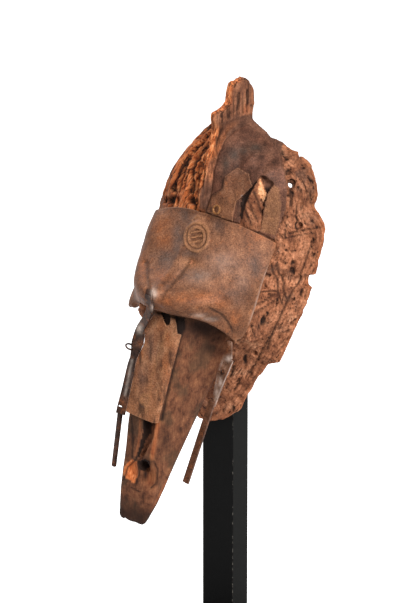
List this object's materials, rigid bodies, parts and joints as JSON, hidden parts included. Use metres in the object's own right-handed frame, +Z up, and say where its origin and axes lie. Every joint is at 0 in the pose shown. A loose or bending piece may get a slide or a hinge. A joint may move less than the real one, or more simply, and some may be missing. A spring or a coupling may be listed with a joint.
{
  "type": "marka mask",
  "caption": "Long-muzzled animal mask of eroded wood under hammered sheet metal, with a crest, one ear and hanging metal strips, hung on a square black post with a flat foot.",
  "frame": {"origin": "on the foot's underside, below the post, on the mask's middle plane", "axes": "+Z up along the post; the mask faces -Y; +X is to the viewer's right when facing the mask"},
  "size_m": [0.228, 0.207, 0.6465],
  "materials": {
    "carved_wood": "eroded, smoke-darkened, dry",
    "hammered_sheet": "hammered thin sheet, brown patina",
    "brow_metal": "hammered sheet, rust-brown with blue-grey streaks",
    "nose_metal": "folded sheet, brown patina with worn bright edges",
    "small_iron": "small ring, orange-brown",
    "pendant_metal": "cut strip, dark with worn edge",
    "dark_wire": "bent wire, rusted",
    "worn_metal": "cut strip, worn bright on the knuckle and taper",
    "bar_metal": "flat bar, brown",
    "black_paint": "satin black"
  },
  "bodies": {
    "root": {"mask_wood": "carved_wood", "cap_sheet": "hammered_sheet", "cap_patch": "hammered_sheet", "brow_sheet": "brow_metal", "nose_sheet": "nose_metal", "eyelet": "small_iron", "left_pendant": "pendant_metal", "left_ring": "dark_wire", "left_rod": "dark_wire", "right_pendant": "worn_metal", "right_bar": "bar_metal", "post": "black_paint", "foot": "black_paint"}
  },
  "joints": []
}
